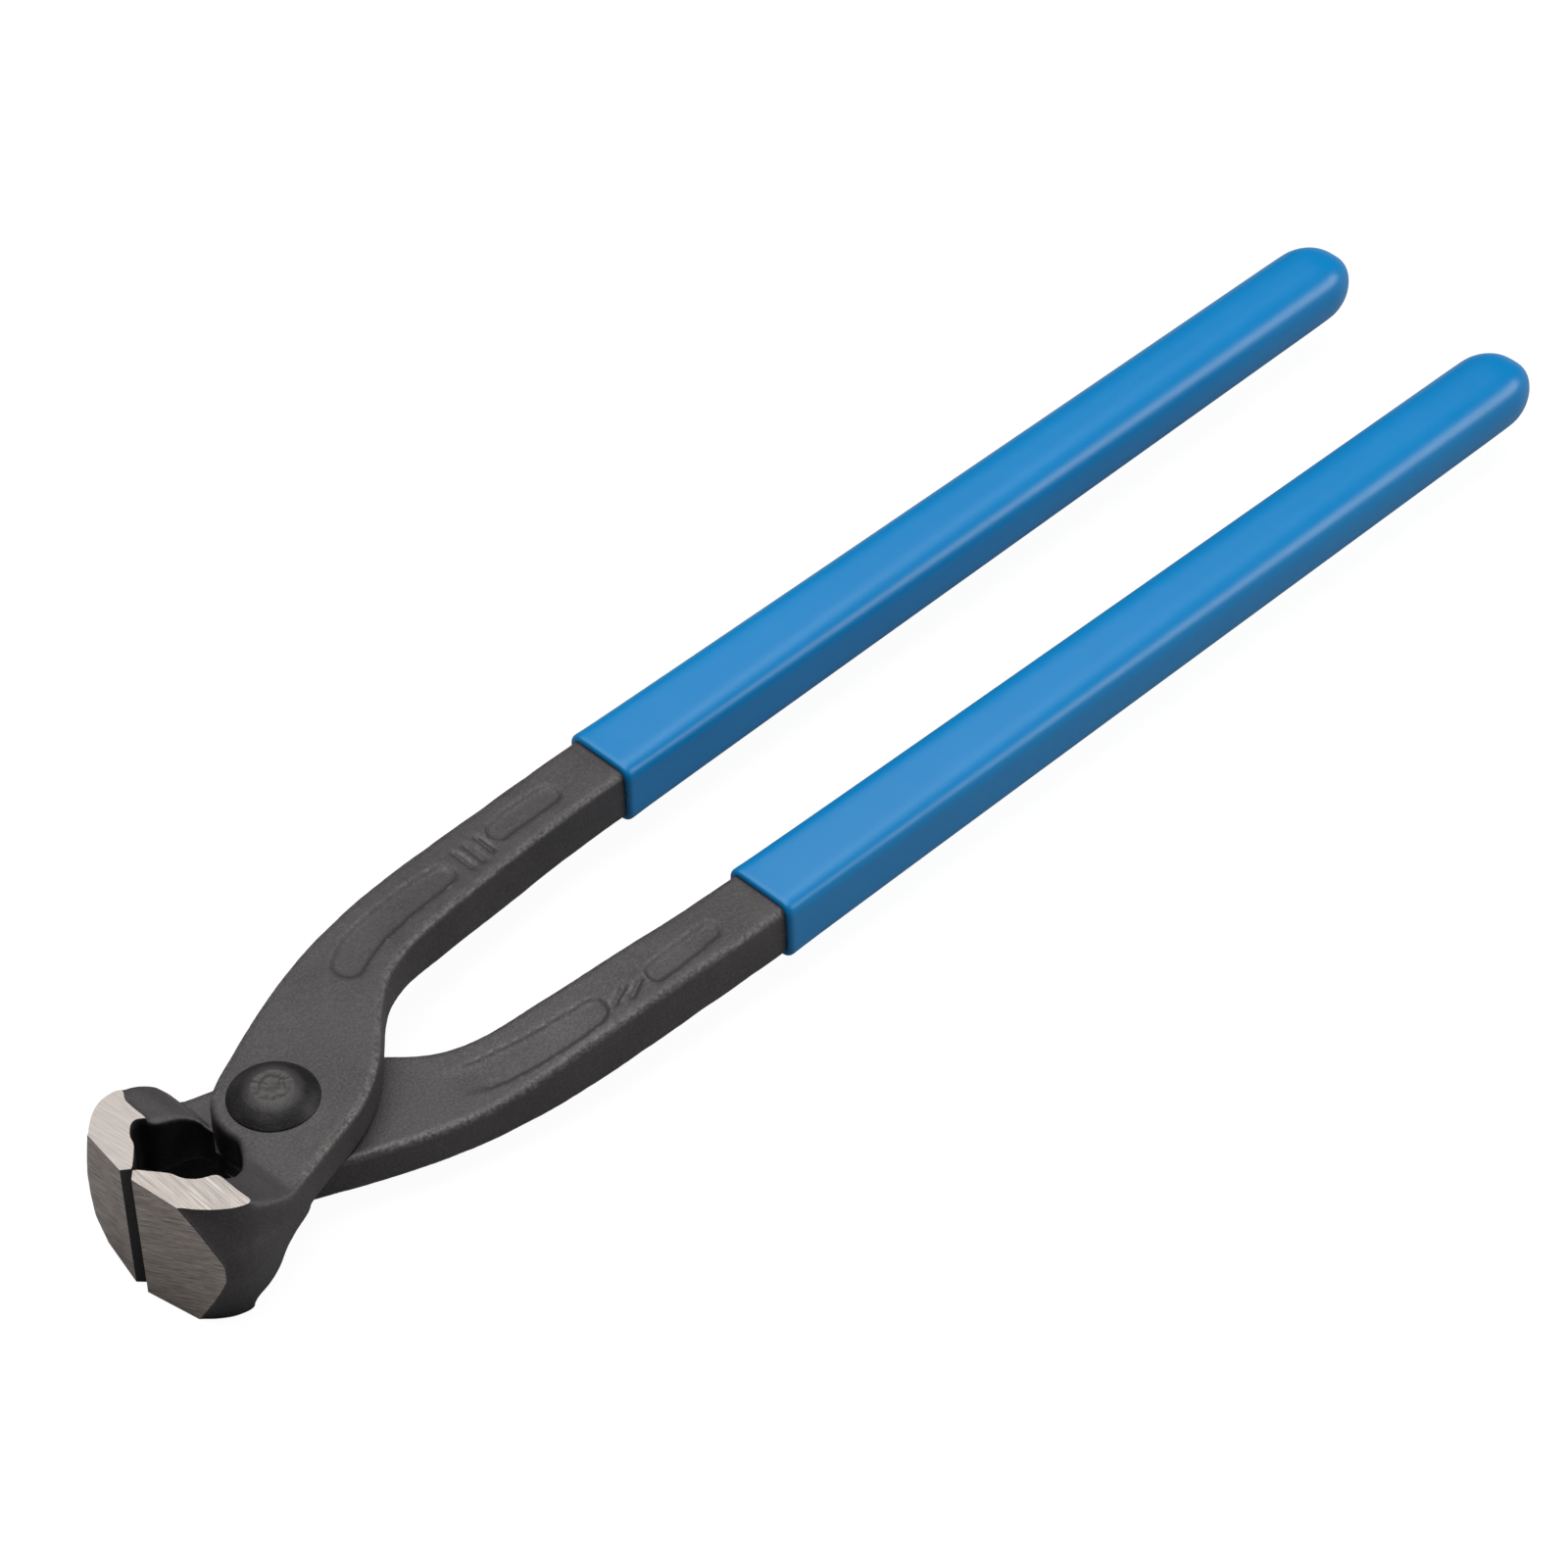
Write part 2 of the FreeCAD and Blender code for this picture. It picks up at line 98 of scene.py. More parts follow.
def ramp(tree, source, low, high, low_value=0.0, high_value=1.0):
    """A node that takes low to low_value and high to high_value, and holds beyond them."""
    return node(tree, "ShaderNodeMapRange",
                {"Value": source, "From Min": low, "From Max": high,
                 "To Min": low_value, "To Max": high_value})


def mix(tree, factor, a, b):
    """A colour mix: a at factor 0 and b at factor 1."""
    made = tree.nodes.new("ShaderNodeMix")
    made.data_type = "RGBA"
    for socket, value in ((made.inputs[0], factor), (made.inputs[6], a), (made.inputs[7], b)):
        if isinstance(value, tuple) and isinstance(value[0], bpy.types.Node):
            tree.links.new(value[0].outputs[value[1]], socket)
        else:
            socket.default_value = value
    return made


def place(tree, scale=(1, 1, 1), turn=(0, 0, 0)):
    """Object coordinates in metres, turned and then stretched."""
    coords = tree.nodes.new("ShaderNodeTexCoord")
    turned = node(tree, "ShaderNodeMapping", {"Vector": (coords, "Object"), "Rotation": turn})
    return node(tree, "ShaderNodeMapping", {"Vector": (turned, "Vector"), "Scale": scale})


def noise_at(tree, coords, scale, detail=2.0, rough=0.5):
    """Fine mottling over the given coordinates; a larger scale is finer."""
    return node(tree, "ShaderNodeTexNoise",
                {"Vector": (coords, "Vector"), "Scale": scale, "Detail": detail, "Roughness": rough})


# ---------------------------------------------------------------- materials
def forged_steel():
    """Blasted and blackened forging: fine grit, faint patches, rubbed edges, and painted shade that
    turns the hollow near black.
    """
    mat, tree, shader = material("forged_steel")
    plain = place(tree)
    grit = noise_at(tree, plain, 2300, 3, 0.65)
    patches = noise_at(tree, plain, 90, 4, 0.6)
    speckle = noise_at(tree, plain, 1500, 3, 0.7)
    edge = node(tree, "ShaderNodeAttribute", attribute_name="edge_wear")
    soot = node(tree, "ShaderNodeAttribute", attribute_name="soot")
    patchy = mix(tree, (ramp(tree, (patches, "Fac"), 0.35, 0.65), "Result"),
                 (0.039, 0.0345, 0.036, 1), (0.052, 0.0465, 0.049, 1))
    gritty = mix(tree, (ramp(tree, (grit, "Fac"), 0.42, 0.74, 0.0, 0.35), "Result"),
                 (patchy, "Result"), (0.110, 0.100, 0.101, 1))
    rubbed = node(tree, "ShaderNodeMath", {0: (edge, "Fac"),
                  1: (ramp(tree, (speckle, "Fac"), 0.40, 0.60, 0.05, 1.0), "Result")},
                  operation="MULTIPLY")
    worn = mix(tree, (rubbed, "Value"), (gritty, "Result"), (0.21, 0.195, 0.188, 1))
    # painted shade: the walls of the hollow and the land in front go near black
    colour = mix(tree, (soot, "Fac"), (worn, "Result"), (0.006, 0.005, 0.005, 1))
    tree.links.new(colour.outputs["Result"], shader.inputs["Base Color"])
    rough = ramp(tree, (grit, "Fac"), 0.3, 0.7, 0.60, 0.46)
    tree.links.new(rough.outputs["Result"], shader.inputs["Roughness"])
    shader.inputs["Metallic"].default_value = 0.35
    pits = node(tree, "ShaderNodeBump", {"Height": (grit, "Fac"), "Strength": 0.5, "Distance": 0.00014})
    tree.links.new(pits.outputs["Normal"], shader.inputs["Normal"])
    return mat


def ground_steel(name, turn, stretch, light, dark, rough, metallic=0.9):
    """Bare ground steel whose fine lines run along the turned Y axis."""
    mat, tree, shader = material(name)
    lines = place(tree, stretch, turn)
    fine = noise_at(tree, lines, 1.0, 3, 0.65)
    broad = noise_at(tree, place(tree, tuple(s * 0.35 for s in stretch), turn), 1.0, 2, 0.5)
    both = node(tree, "ShaderNodeMath", {0: (fine, "Fac"), 1: (broad, "Fac")}, operation="ADD")
    shade = mix(tree, (ramp(tree, (both, "Value"), 0.78, 1.22), "Result"), dark, light)
    tree.links.new(shade.outputs["Result"], shader.inputs["Base Color"])
    gloss = ramp(tree, (both, "Value"), 0.8, 1.2, rough + 0.08, rough - 0.06)
    tree.links.new(gloss.outputs["Result"], shader.inputs["Roughness"])
    shader.inputs["Metallic"].default_value = metallic
    grooves = node(tree, "ShaderNodeBump",
                   {"Height": (both, "Value"), "Strength": 0.30, "Distance": 0.00006})
    tree.links.new(grooves.outputs["Normal"], shader.inputs["Normal"])
    return mat


def rivet_steel():
    """Blackened rivet steel, with a painted highlight that makes the top of each head lighter."""
    highlight_from, highlight_full = 0.0087, 0.0094   # metres above and below the pivot's middle
    mat, tree, shader = material("rivet_steel")
    plain = place(tree)
    grit = noise_at(tree, plain, 2300, 3, 0.6)
    hammered = noise_at(tree, plain, 420, 2, 0.5)
    flank = mix(tree, (ramp(tree, (hammered, "Fac"), 0.35, 0.68), "Result"),
                (0.012, 0.011, 0.011, 1), (0.022, 0.020, 0.020, 1))
    height = node(tree, "ShaderNodeSeparateXYZ", {"Vector": (plain, "Vector")})
    level = node(tree, "ShaderNodeMath", {0: (height, "Z"), 1: PIVOT.z}, operation="SUBTRACT")
    above = node(tree, "ShaderNodeMath", {0: (level, "Value")}, operation="ABSOLUTE")
    painted_highlight = ramp(tree, (above, "Value"), highlight_from, highlight_full)
    # painted highlight: the top of each head is lighter than its flanks
    base = mix(tree, (painted_highlight, "Result"), (flank, "Result"), (0.052, 0.047, 0.047, 1))
    tree.links.new(base.outputs["Result"], shader.inputs["Base Color"])
    gloss = ramp(tree, (grit, "Fac"), 0.3, 0.7, 0.54, 0.42)
    tree.links.new(gloss.outputs["Result"], shader.inputs["Roughness"])
    shader.inputs["Metallic"].default_value = 0.4
    shader.inputs["Specular IOR Level"].default_value = 0.35
    pits = node(tree, "ShaderNodeBump", {"Height": (grit, "Fac"), "Strength": 0.5, "Distance": 0.00012})
    tree.links.new(pits.outputs["Normal"], shader.inputs["Normal"])
    return mat


def dipped_vinyl():
    """Smooth blue plastic with a hardly visible orange peel."""
    mat, tree, shader = material("blue_grip")
    plain = place(tree)
    cloud = noise_at(tree, plain, 28, 2, 0.5)
    colour = mix(tree, (ramp(tree, (cloud, "Fac"), 0.3, 0.7), "Result"),
                 (0.0005, 0.168, 0.415, 1), (0.001, 0.180, 0.440, 1))
    tree.links.new(colour.outputs["Result"], shader.inputs["Base Color"])
    peel = noise_at(tree, plain, 260, 2, 0.5)
    rough = ramp(tree, (peel, "Fac"), 0.3, 0.7, 0.30, 0.34)
    tree.links.new(rough.outputs["Result"], shader.inputs["Roughness"])
    shader.inputs["Specular IOR Level"].default_value = 0.33
    skin = node(tree, "ShaderNodeBump", {"Height": (peel, "Fac"), "Strength": 0.06, "Distance": 0.0003})
    tree.links.new(skin.outputs["Normal"], shader.inputs["Normal"])
    return mat


END_LINES = ((0, 0, -0.04), (11000, 260, 1500))     # turn and stretch of the grinding lines
FORGED = forged_steel()
# lit and shaded copies of one ground steel: the lower lever's end is painted lighter and the upper
# lever's darker, for the way the light falls on each
GROUND_END_PAINTED_LIGHT_AND_SHADE = {
    "upper": ground_steel("ground_end_upper_painted_shade", *END_LINES,
                          (0.36, 0.325, 0.30, 1), (0.25, 0.225, 0.207, 1), 0.44, 0.6),
    "lower": ground_steel("ground_end_lower_painted_light", *END_LINES,
                          (0.62, 0.56, 0.52, 1), (0.44, 0.397, 0.367, 1), 0.44, 0.3),
}
GROUND_FRONT = ground_steel("ground_front", (0.40, 0, 0), (1500, 480, 12500),
                            (0.50, 0.435, 0.395, 1), (0.24, 0.208, 0.188, 1), 0.42)
RIVET = rivet_steel()
VINYL = dipped_vinyl()


# ---------------------------------------------------------------- mesh helpers
def new_piece(name, bm, materials, body, nodes):
    """Makes the object, hangs it on its body and hides the CAD nodes that it stands for."""
    mesh = bpy.data.meshes.new(name)
    bm.to_mesh(mesh)
    bm.free()
    for mat in materials:
        mesh.materials.append(mat)
    piece = bpy.data.objects.new(name, mesh)
    bpy.context.scene.collection.objects.link(piece)
    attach(piece, body)
    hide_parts(*nodes)
    return piece


def vertex_vectors(mesh, key):
    """The co or the normal of every vertex, one row each."""
    values = np.empty(len(mesh.vertices) * 3)
    mesh.vertices.foreach_get(key, values)
    return values.reshape(-1, 3)


def edges_of(mesh):
    """The two vertex numbers of every edge, one row each."""
    pairs = np.empty(len(mesh.edges) * 2, dtype=np.int64)
    mesh.edges.foreach_get("vertices", pairs)
    return pairs.reshape(-1, 2)


def spread(values, edges, count, rounds):
    """Each vertex takes the mean of its neighbours and itself, again and again."""
    degree = np.bincount(edges.ravel(), minlength=count).astype(float) + 1
    for _ in range(rounds):
        total = values.copy()
        for column in range(values.shape[1]):
            total[:, column] += np.bincount(edges[:, 0], values[edges[:, 1], column], count)
            total[:, column] += np.bincount(edges[:, 1], values[edges[:, 0], column], count)
        values = total / degree[:, None]
    return values


def convexity(points, normals, edges, count):
    """How far each vertex stands out from its neighbours, positive on outside corners."""
    away = points[edges[:, 0]] - points[edges[:, 1]]
    length = np.maximum(np.linalg.norm(away, axis=1), 1e-9)
    first = np.einsum("ij,ij->i", away, normals[edges[:, 0]]) / length
    second = -np.einsum("ij,ij->i", away, normals[edges[:, 1]]) / length
    total = np.bincount(edges[:, 0], first, count) + np.bincount(edges[:, 1], second, count)
    degree = np.maximum(np.bincount(edges.ravel(), minlength=count), 1)
    return (total / degree)[:, None]


def add_attribute(mesh, name, values):
    """One number for each vertex, for a shader to read."""
    made = mesh.attributes.new(name, "FLOAT", "POINT")
    made.data.foreach_set("value", values.astype(np.float32))


def between(values, low, high):
    """0 at low, 1 at high and straight in between."""
    return np.clip((values - low) / (high - low), 0, 1)


def smooth_faces(bm):
    """Outward normals and soft shading all over."""
    bmesh.ops.recalc_face_normals(bm, faces=bm.faces)
    for face in bm.faces:
        face.smooth = True


def subdivide(piece):
    """One level of smooth subdivision."""
    soft = piece.modifiers.new("smooth", "SUBSURF")
    soft.levels = soft.render_levels = 1


def remeshed(bm, voxel):
    """The closed volume of a mesh as one even grid of faces."""
    mesh = bpy.data.meshes.new("volume")
    bm.to_mesh(mesh)
    bm.free()
    holder = bpy.data.objects.new("volume", mesh)
    bpy.context.scene.collection.objects.link(holder)
    step = holder.modifiers.new("grid", "REMESH")
    step.mode = "VOXEL"
    step.voxel_size = voxel
    step.adaptivity = 0.0
    done = bpy.data.meshes.new_from_object(holder.evaluated_get(bpy.context.evaluated_depsgraph_get()))
    bpy.data.objects.remove(holder)
    bpy.data.meshes.remove(mesh)
    return done


# ---------------------------------------------------------------- the levers
VOXEL = 0.37        # grid of the forgings' meshes
GROWN = 1.2         # extra stock on a ground face, until its own plane cuts it off
END_SLOPE = math.radians(8)
FRONT_SWEEP = math.radians(11)
ARM_START = 24      # from here on the handles no longer lie on each other
SLOT_FORGED, SLOT_FRONT, SLOT_END = 0, 1, 2
GROUND_FACES = {    # rough direction and material slot
    "front": ((-math.cos(FRONT_SWEEP), -math.sin(FRONT_SWEEP), 0), SLOT_FRONT),
    "land": ((-0.68, 0.735, 0), SLOT_FORGED),
    "top": ((0, -math.sin(END_SLOPE), math.cos(END_SLOPE)), SLOT_END),
    "bottom": ((0, 0, -1), SLOT_END),
    "sloping_bottom": ((0, -math.sin(END_SLOPE), -math.cos(END_SLOPE)), SLOT_END),
}
FRONT_FACES_X = -23     # the front and the land lie beyond this
END_FACES_X, END_FACES_Z = -15, 9   # the end faces lie beyond these
SAME_WAY = 0.9995       # cosine between a face of the mesh and the ground face that it is part of
OFF_LAP = (0.25, 0.85)  # heights above the lap face where the forged skin fades in
OFF_BORE = (5.5, 7.5)   # radii round the rivet hole where it does so
RUBBED = (0.034, 0.104)     # how convex a corner is that starts to be rubbed, or is bare


def ground_planes(bm):
    """Each ground face that the jaw has in the CAD mesh: its faces, a point on it, its normal
    and its material slot."""
    found = []
    for seed, slot in GROUND_FACES.values():
        seed = Vector(seed).normalized()
        at_end = abs(seed.z) > 0.5
        faces = []
        for face in bm.faces:
            middle = face.calc_center_median()
            if at_end:
                on_jaw = middle.x < END_FACES_X and abs(middle.z) > END_FACES_Z
            else:
                on_jaw = middle.x < FRONT_FACES_X
            if on_jaw and face.normal.dot(seed) > SAME_WAY:
                faces.append(face)
        area = sum(f.calc_area() for f in faces)
        if area < 1:
            continue
        normal = sum((f.normal * f.calc_area() for f in faces), Vector()).normalized()
        middle = sum((f.calc_center_median() * f.calc_area() for f in faces), Vector()) / area
        found.append((faces, middle, normal, slot))
    return found


def forged_relief(points, normals):
    """How far the forged skin stands out: waves, grain and the parting ridge along the arms."""
    skin = np.array([0.09 * noise.noise(Vector(p) / 6.5) + 0.022 * noise.noise(Vector(p) / 1.9)
                     + 0.012 * noise.noise(Vector(p) / 0.75) for p in points])
    ridge_at = 0.35 * np.sin(points[:, 0] / 9.0)
    on_side = np.clip(1.4 - 2.2 * np.abs(normals[:, 2]), 0, 1)
    ridge = 0.10 * np.exp(-((points[:, 2] - ridge_at) / 0.32) ** 2) * on_side
    return skin, ridge * (points[:, 0] > ARM_START)


def painted_shade_on(points, normals):
    """Painted shade: where the forging is made near black, on the walls of the hollow and on the land in
    front.
    """
    x, across, z = points[:, 0], -points[:, 1], points[:, 2]
    inside = between(x, -26, -24.5) * between(x, -8.6, -9.4) * between(across, 9.9, 9.1)
    upright = np.clip(1.5 - 2 * np.abs(normals[:, 2]), 0, 1)
    walls = inside * np.maximum(upright * between(np.abs(z), 11.0, 9.4),
                                between(np.abs(z), 5.5, 4.5))
    land = 0.75 * (x < -24.4) * (across < 1.9) * (np.abs(z) < 12.5)
    return np.maximum(walls, land)


def forged_mesh(mesh):
    """Soft edges and a forged skin on an even mesh; the lap face and the bore stay true."""
    edges, count = edges_of(mesh), len(mesh.vertices)
    points = vertex_vectors(mesh, "co")
    off_lap = between(np.abs(points[:, 2]), *OFF_LAP)
    off_lap = np.where(points[:, 0] > ARM_START, 1.0, off_lap)
    smooth = spread(points, edges, count, 1)
    # the rims of the jaw and of its neck are rounder than the plate's and the arm's
    jaw = between(points[:, 0], -5, -9) * between(np.abs(points[:, 2]), 1.5, 3.5)
    smooth += (spread(smooth, edges, count, 7) - smooth) * jaw[:, None]
    smooth[:, 2] = points[:, 2] + (smooth[:, 2] - points[:, 2]) * off_lap
    mesh.vertices.foreach_set("co", smooth.ravel())
    mesh.update()

    normals = vertex_vectors(mesh, "normal")
    corners = spread(convexity(smooth, normals, edges, count), edges, count, 2)[:, 0]
    skin, ridge = forged_relief(smooth, normals)
    off_bore = between(np.hypot(smooth[:, 0], smooth[:, 1]), *OFF_BORE)
    moved = smooth + normals * ((skin * off_lap + ridge) * off_bore)[:, None]
    mesh.vertices.foreach_set("co", moved.ravel())
    add_attribute(mesh, "edge_wear", between(corners, *RUBBED) * between(smooth[:, 0], -9, -5))
    # painted shade on the walls of the hollow and on the land in front
    add_attribute(mesh, "soot", painted_shade_on(smooth, normals))


def grind(bm, point, normal, slot):
    """Cut the mesh off flat at a ground face and close it with the face's own material."""
    everything = list(bm.verts) + list(bm.edges) + list(bm.faces)
    cut = bmesh.ops.bisect_plane(bm, geom=everything, dist=1e-4, plane_co=point, plane_no=normal,
                                 clear_outer=True)
    rim = [e for e in cut["geom_cut"] if isinstance(e, bmesh.types.BMEdge)]
    filled = bmesh.ops.triangle_fill(bm, edges=rim, use_beauty=True, normal=normal)
    for face in filled["geom"]:
        if isinstance(face, bmesh.types.BMFace):
            face.material_index = slot
            face.smooth = False
            if face.normal.dot(normal) < 0:
                face.normal_flip()


def forged_lever(name, side, body):
    """The lever as a forging whose ground faces are cut crisp by the CAD's own planes."""
    turn = TURN[side]
    bm = bmesh.new()
    bm.from_mesh(frame["nodes"][name].data)
    bmesh.ops.transform(bm, matrix=turn @ ROW.inverted(), verts=bm.verts)
    bmesh.ops.remove_doubles(bm, verts=bm.verts, dist=0.002)
    bmesh.ops.recalc_face_normals(bm, faces=bm.faces)
    planes = ground_planes(bm)
    for faces, _middle, normal, _slot in planes:
        grown = bmesh.ops.extrude_face_region(bm, geom=faces)
        bmesh.ops.translate(bm, vec=normal * GROWN,
                            verts=[v for v in grown["geom"] if isinstance(v, bmesh.types.BMVert)])
    mesh = remeshed(bm, VOXEL)
    forged_mesh(mesh)

    bm = bmesh.new()
    bm.from_mesh(mesh)
    bpy.data.meshes.remove(mesh)
    for face in bm.faces:
        face.smooth = True
        face.material_index = SLOT_FORGED
    for _faces, middle, normal, slot in planes:
        grind(bm, middle, normal, slot)
    bmesh.ops.transform(bm, matrix=ROW @ turn.inverted(), verts=bm.verts)
    new_piece(name + "_forged", bm, [FORGED, GROUND_FRONT, GROUND_END_PAINTED_LIGHT_AND_SHADE[side]], body, [name])


# ---------------------------------------------------------------- the grips
def sleeve_section(width, thick, corner):
    """A closed outline across the handle: flat sides joined by soft corners."""
    half_w, half_t = width / 2, thick / 2
    corner = min(corner, half_w, half_t)
    bends, flats = 9, 3     # points round a corner, and points between two corners
    fullness = 0.9          # below 1, a corner is fuller than a circle
    ring = []
    for sy, sz in ((1, 1), (-1, 1), (-1, -1), (1, -1)):
        bend = []
        for i in range(bends):
            a = math.pi / 2 * i / (bends - 1)
            bend.append(Vector((sy * (half_w - corner + corner * math.cos(a) ** fullness),
                                sz * (half_t - corner + corner * math.sin(a) ** fullness))))
        ring += bend if sy * sz > 0 else bend[::-1]
        if sy * sz > 0:
            following = Vector((-sy * (half_w - corner), sz * half_t))
        else:
            following = Vector((sy * half_w, -sz * (half_t - corner)))
        last = ring[-1]
        ring += [last.lerp(following, k / (flats + 1)) for k in range(1, flats + 1)]
    return ring


GRIP_WIDTH, GRIP_THICK = 13.2, 11.4
MOUTH_CORNER, TAIL_CORNER = 2.5, 5.6
MOUTH_MIDDLE, TAIL_MIDDLE = 19.2, 19.65     # middle of the handle, from the tool's middle plane
NOSE_LENGTH, NOSE_STEPS = 8.5, 15
LIP = ((3.0, -2.1), (0.9, -2.1), (0.1, -1.2), (0, -0.7), (0.12, -0.25), (0.45, 0.0), (0.9, 0.06),
       (1.6, 0.03))     # the rolled lip: distance along the sleeve, and growth of its outline


def dipped_grip(name, side, body, start):
    """The dipped sleeve: rolled lip, soft corners that round out, and a domed end."""
    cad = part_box(name)
    end = (cad[1].x - PIVOT.x) / MM
    straight_end = end - 10.0
    stations = [(start + along, grow) for along, grow in LIP]
    x = start + 4.0
    while x < straight_end:
        stations.append((x, 0.0))
        x += 2.5
    rings = []
    for x, grow in stations:
        t = min(max((x - start) / (straight_end - start), 0), 1)
        corner = MOUTH_CORNER + grow + (TAIL_CORNER - MOUTH_CORNER) * t ** 0.75
        rings.append((x, MOUTH_MIDDLE + (TAIL_MIDDLE - MOUTH_MIDDLE) * t,
                      GRIP_WIDTH + grow * 2, GRIP_THICK + grow * 2, corner))
    for i in range(1, NOSE_STEPS):
        a = math.radians(90 * i / NOSE_STEPS)
        narrow = math.cos(a) ** 0.95
        rings.append((end - NOSE_LENGTH + NOSE_LENGTH * math.sin(a), TAIL_MIDDLE,
                      GRIP_WIDTH * narrow, GRIP_THICK * narrow, TAIL_CORNER * narrow))
    bm = bmesh.new()
    loops = []
    for x, middle, width, thick, corner in rings:
        section = sleeve_section(width, thick, corner)
        loops.append([bm.verts.new((x, middle + p.x, p.y)) for p in section])
    for a, b in zip(loops, loops[1:]):
        for i in range(len(a)):
            j = (i + 1) % len(a)
            bm.faces.new((a[i], a[j], b[j], b[i]))
    tip = bm.verts.new((end, TAIL_MIDDLE, 0))
    for i in range(len(loops[-1])):
        bm.faces.new((loops[-1][i], loops[-1][(i + 1) % len(loops[-1])], tip))
    bm.faces.new(list(reversed(loops[0])))
    smooth_faces(bm)
    bmesh.ops.transform(bm, matrix=ROW @ TURN[side].inverted(), verts=bm.verts)
    subdivide(new_piece(name + "_dipped", bm, [VINYL], body, [name]))


# ---------------------------------------------------------------- the rivet
RIVET_HALF = (      # radius and height of the upper half: punch mark, dome, underside and shank
    (0.0, 9.50), (1.0, 9.48), (1.45, 9.57), (1.8, 9.50), (2.1, 9.41), (2.6, 9.43), (3.0, 9.52),
    (3.3, 9.47), (3.7, 9.27), (4.5, 8.93), (5.3, 8.46), (6.0, 7.95), (6.5, 7.52), (6.85, 7.25),
    (6.97, 7.13), (6.9, 7.08), (5.6, 7.06), (4.5, 7.06), (4.5, 0.0))
RIVET_RING = 128    # points round it
PUNCHED = 2.8       # radius of the punch mark


def uneven(r, x, y, z):
    """How far a point of the heads stands off their turned shape; their rims and the shank are true."""
    if r >= 6.8 or abs(z) <= 7.2:
        return 0.0
    point = Vector((x, y, z))
    coarse = 0.22 if r < PUNCHED else 0.05
    return coarse * noise.noise(point / 0.9) + 0.03 * noise.noise(point / 0.6) - 0.03


def domed_rivet():
    """Shank with a domed head at each end, and the mark that the riveting punch leaves."""
    bm = bmesh.new()
    outline = list(RIVET_HALF) + [(r, -z) for r, z in reversed(RIVET_HALF[:-1])]
    loops = []
    for r, z in outline:
        if r == 0:
            loops.append([bm.verts.new((0, 0, z))])
            continue
        loop = []
        for k in range(RIVET_RING):
            a = 2 * math.pi * k / RIVET_RING
            x, y = r * math.cos(a), r * math.sin(a)
            lift = uneven(r, x, y, z)
            loop.append(bm.verts.new((x, y, z + math.copysign(lift, z))))
        loops.append(loop)
    for a, b in zip(loops, loops[1:]):
        for k in range(RIVET_RING):
            m = (k + 1) % RIVET_RING
            if len(a) == 1:
                bm.faces.new((a[0], b[k], b[m]))
            elif len(b) == 1:
                bm.faces.new((a[k], b[0], a[m]))
            else:
                bm.faces.new((a[k], b[k], b[m], a[m]))
    smooth_faces(bm)
    bmesh.ops.transform(bm, matrix=ROW, verts=bm.verts)
    subdivide(new_piece("pivot_rivet_domed", bm, [RIVET], "lower_half", ["pivot_rivet"]))


forged_lever("upper_lever", "upper", "upper_half")
forged_lever("lower_lever", "lower", "lower_half")
dipped_grip("upper_grip", "upper", "upper_half", start=82.6)
dipped_grip("lower_grip", "lower", "lower_half", start=79.3)
domed_rivet()


# ---------------------------------------------------------------- floor, light and camera
def pale_floor():
    """Near white to the camera, and a middle grey to the light that it throws back."""
    mat, tree, shader = material("pale_floor")
    shader.inputs["Base Color"].default_value = (0.32, 0.32, 0.32, 1)
    shader.inputs["Roughness"].default_value = 0.9
    white = node(tree, "ShaderNodeEmission", {"Color": (1, 1, 1, 1), "Strength": 0.95})
    lit = node(tree, "ShaderNodeBsdfDiffuse", {"Color": (0.1, 0.1, 0.1, 1)})
    seen = tree.nodes.new("ShaderNodeAddShader")
    tree.links.new(white.outputs[0], seen.inputs[0])
    tree.links.new(lit.outputs[0], seen.inputs[1])
    ray = tree.nodes.new("ShaderNodeLightPath")
    either = tree.nodes.new("ShaderNodeMixShader")
    tree.links.new(ray.outputs["Is Camera Ray"], either.inputs[0])
    tree.links.new(shader.outputs[0], either.inputs[1])
    tree.links.new(seen.outputs[0], either.inputs[2])
    tree.links.new(either.outputs[0], tree.nodes["Material Output"].inputs["Surface"])
    mesh = bpy.data.meshes.new("floor")
    reach = 3.0
    mesh.from_pydata([(-reach, -reach, FLOOR_Z), (reach, -reach, FLOOR_Z), (reach, reach, FLOOR_Z),
                      (-reach, reach, FLOOR_Z)], [], [(0, 1, 2, 3)])
    mesh.materials.append(mat)
    floor = bpy.data.objects.new("floor", mesh)
    bpy.context.scene.collection.objects.link(floor)


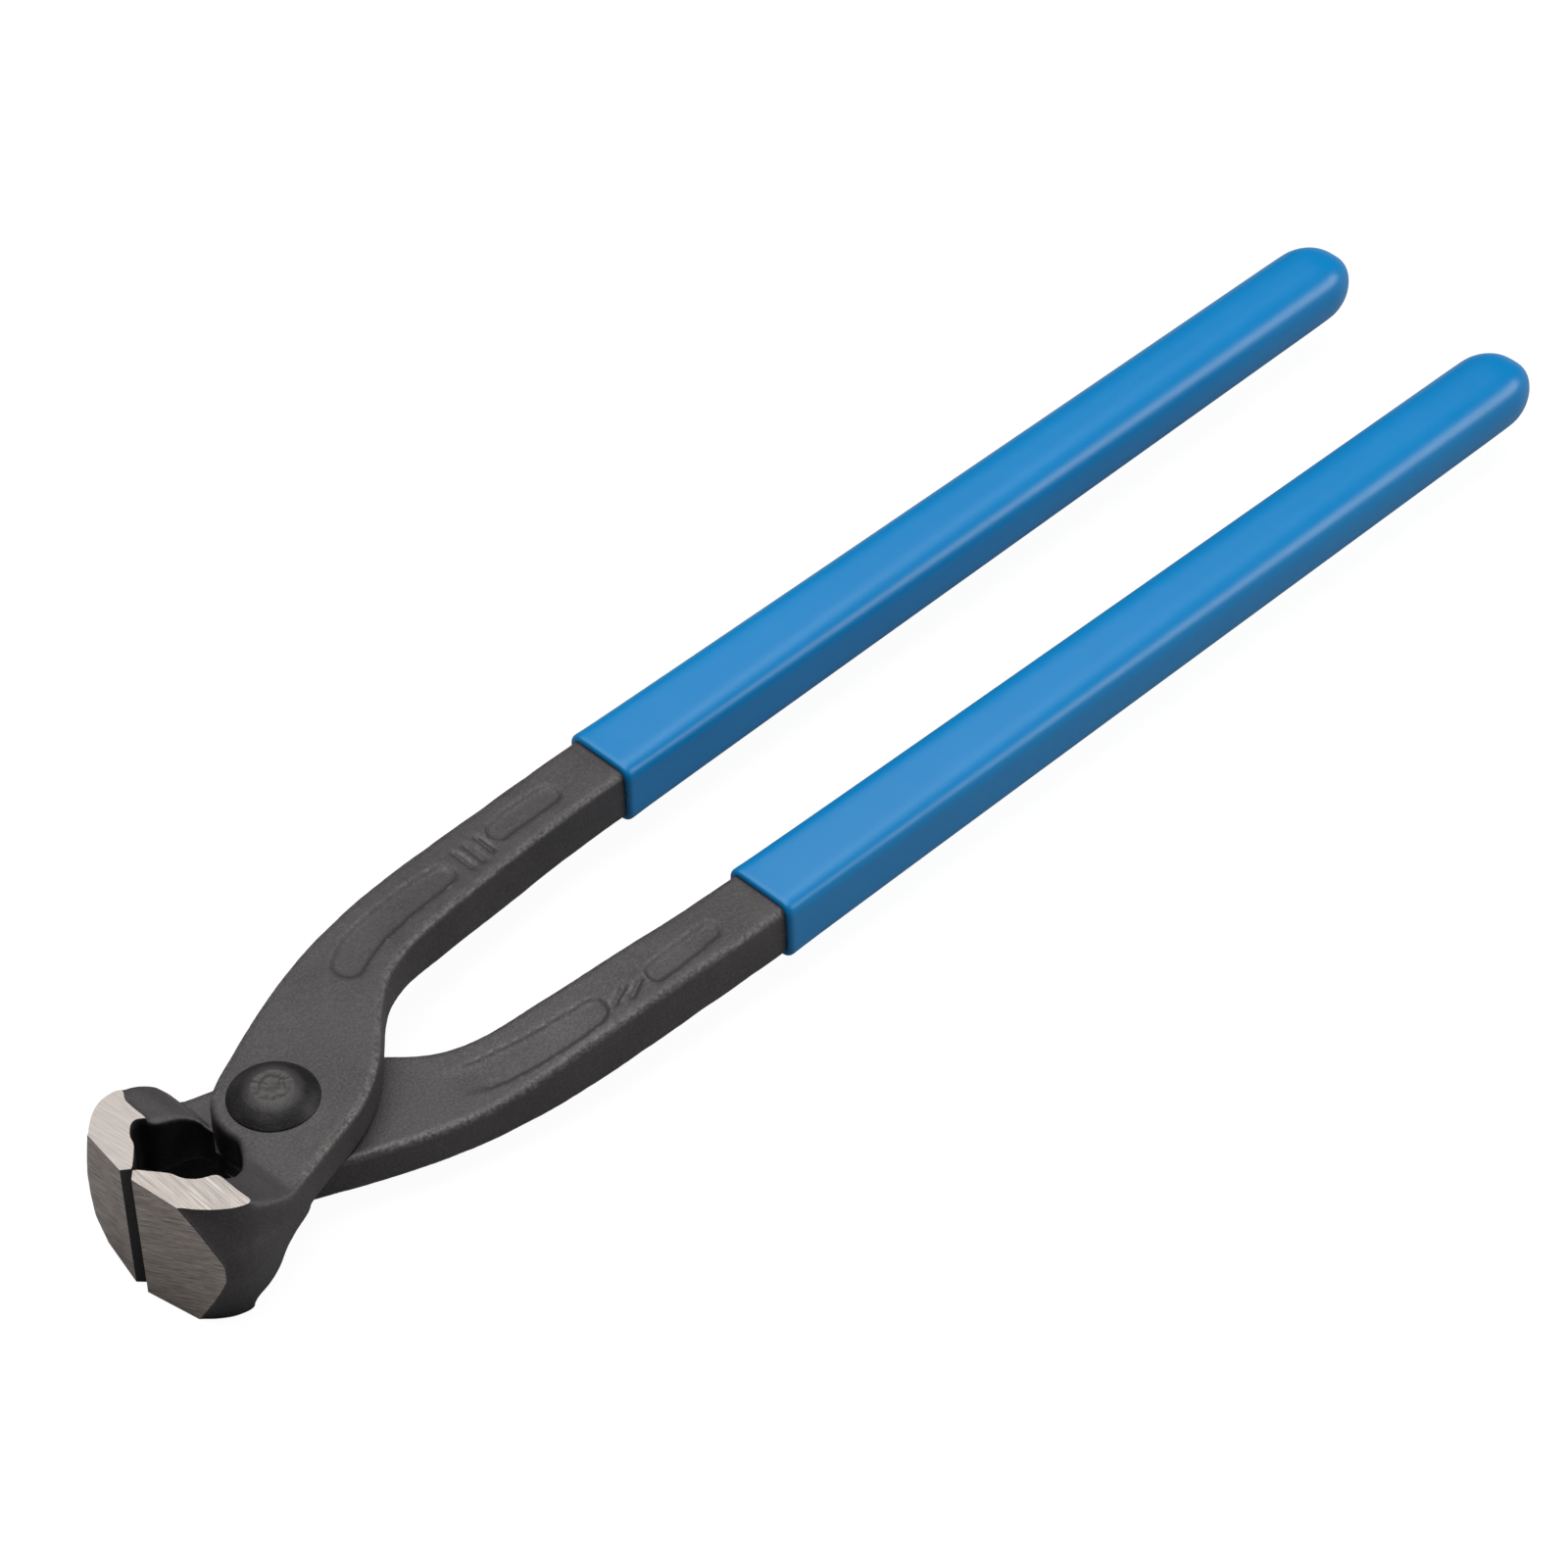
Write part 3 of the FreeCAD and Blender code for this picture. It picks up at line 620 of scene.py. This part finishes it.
def area_light(name, eye, aim, width, height, power):
    """A rectangular lamp at eye, pointing at aim; metres and watts."""
    lamp = bpy.data.lights.new(name, "AREA")
    lamp.shape = "RECTANGLE"
    lamp.size, lamp.size_y, lamp.energy = width, height, power
    holder = bpy.data.objects.new(name, lamp)
    holder.location = eye
    holder.rotation_euler = (Vector(aim) - Vector(eye)).to_track_quat("-Z", "Y").to_euler()
    bpy.context.scene.collection.objects.link(holder)


def lights():
    """A softbox above the pivot, a fill from the right and a faint sky."""
    area_light("softbox_above", (0.0, 0.15, 0.9), (-0.04, 0, 0), 1.1, 1.1, 13.3)
    area_light("fill_right", (0.9, -0.75, 0.45), (0.05, 0, 0), 0.8, 0.5, 8.0)
    world = bpy.data.worlds.new("studio")
    world.use_nodes = True
    world.node_tree.nodes["Background"].inputs["Color"].default_value = (0.8, 0.82, 0.85, 1)
    world.node_tree.nodes["Background"].inputs["Strength"].default_value = 0.07
    bpy.context.scene.world = world


def camera():
    """A long lens above the jaws, at one corner of the tool. The distance is in metres, the focal
    length in sensor widths, and the aim is the pivot's place in the picture, in tangents."""
    tilt, heading, roll = math.radians(44.34), math.radians(43.195), math.radians(-2.04)
    distance, focal, sensor = 0.88733, 3.898, 36
    aim_x, aim_y = -0.08288, -0.05656
    right = Vector((math.cos(heading), -math.sin(heading), 0))
    level = Vector((math.sin(heading), math.cos(heading), 0))
    look = level * math.cos(tilt) - Vector((0, 0, math.sin(tilt)))
    up = level * math.sin(tilt) + Vector((0, 0, math.cos(tilt)))
    across = right * math.cos(roll) + up * math.sin(roll)
    upward = up * math.cos(roll) - right * math.sin(roll)
    eye = PIVOT - (look + across * aim_x + upward * aim_y) * distance
    data = bpy.data.cameras.new("camera")
    data.sensor_width = sensor
    data.lens = focal * sensor
    data.clip_start, data.clip_end = 0.05, 20
    holder = bpy.data.objects.new("camera", data)
    bpy.context.scene.collection.objects.link(holder)
    holder.matrix_world = Matrix.Translation(eye) @ Matrix((across, upward, -look)).transposed().to_4x4()
    bpy.context.scene.camera = holder


pale_floor()
lights()
camera()
bpy.context.scene.view_settings.view_transform = "Standard"

bpy.context.view_layer.update()
